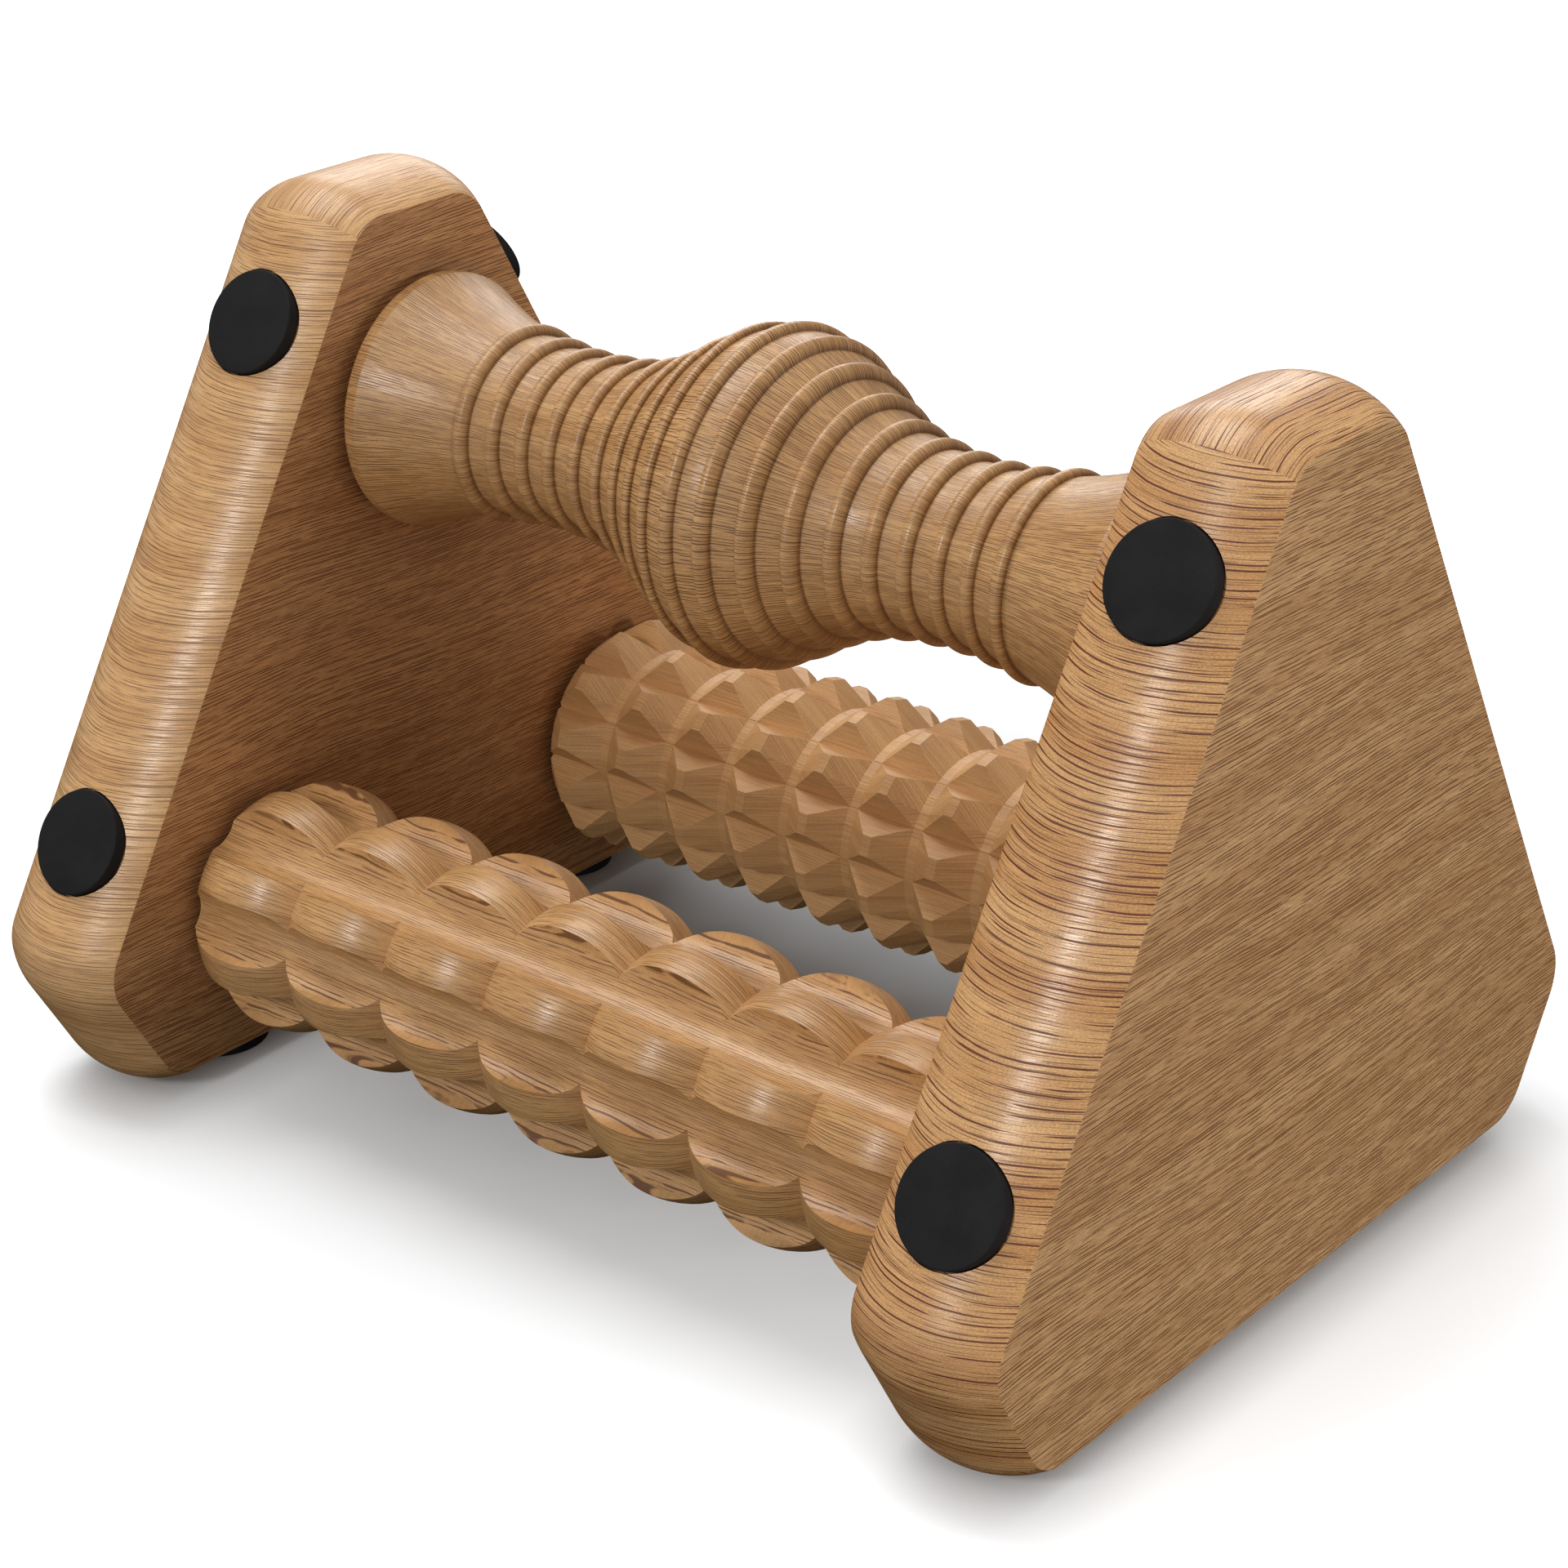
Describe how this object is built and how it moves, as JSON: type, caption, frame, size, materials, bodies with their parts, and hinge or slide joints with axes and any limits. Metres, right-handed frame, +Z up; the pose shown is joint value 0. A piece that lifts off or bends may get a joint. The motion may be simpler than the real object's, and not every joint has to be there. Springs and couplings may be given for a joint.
{
  "type": "foot massage roller",
  "caption": "Free-standing wooden foot massager: rollers with beads, studs and rings turn between two crowned end panels on rubber feet.",
  "frame": {"origin": "on the floor, under the middle of the object, level with the faces of the bottom rubber feet", "axes": "+X along the rollers to the right panel, -Y to the side with the bead roller, +Z up to the ring roller"},
  "size_m": [0.24, 0.1914, 0.1703],
  "materials": {
    "panel_oak": "oiled oak with fine dark pores, satin",
    "roller_oak": "turned oak, satin lacquer",
    "axle_steel": "ground steel rod",
    "washer_steel": "plain steel washer",
    "bush_plastic": "matt black nylon",
    "foot_rubber": "matt charcoal rubber"
  },
  "bodies": {
    "root": {"left_panel": "panel_oak", "right_panel": "panel_oak", "top_axle": "axle_steel", "front_axle": "axle_steel", "rear_axle": "axle_steel", "top_washer_left": "washer_steel", "top_washer_right": "washer_steel", "front_washer_left": "washer_steel", "front_washer_right": "washer_steel", "rear_washer_left": "washer_steel", "rear_washer_right": "washer_steel", "foot_left_bottom_front": "foot_rubber", "foot_left_bottom_rear": "foot_rubber", "foot_left_front_upper": "foot_rubber", "foot_left_front_lower": "foot_rubber", "foot_left_rear_upper": "foot_rubber", "foot_left_rear_lower": "foot_rubber", "foot_right_bottom_front": "foot_rubber", "foot_right_bottom_rear": "foot_rubber", "foot_right_front_upper": "foot_rubber", "foot_right_front_lower": "foot_rubber", "foot_right_rear_upper": "foot_rubber", "foot_right_rear_lower": "foot_rubber"},
    "top_roller": {"top_roller": "roller_oak", "top_bush_left": "bush_plastic", "top_bush_right": "bush_plastic"},
    "front_roller": {"front_roller": "roller_oak", "front_bush_left": "bush_plastic", "front_bush_right": "bush_plastic"},
    "rear_roller": {"rear_roller": "roller_oak", "rear_bush_left": "bush_plastic", "rear_bush_right": "bush_plastic"}
  },
  "joints": [
    {"name": "top_roller_spin", "type": "hinge", "parent": "root", "child": "top_roller", "pos_m": [0, 0, 0.12662], "axis": [1, 0, 0], "continuous": true},
    {"name": "front_roller_spin", "type": "hinge", "parent": "root", "child": "front_roller", "pos_m": [0, -0.05127, 0.03782], "axis": [1, 0, 0], "continuous": true},
    {"name": "rear_roller_spin", "type": "hinge", "parent": "root", "child": "rear_roller", "pos_m": [0, 0.05127, 0.03782], "axis": [1, 0, 0], "continuous": true}
  ]
}
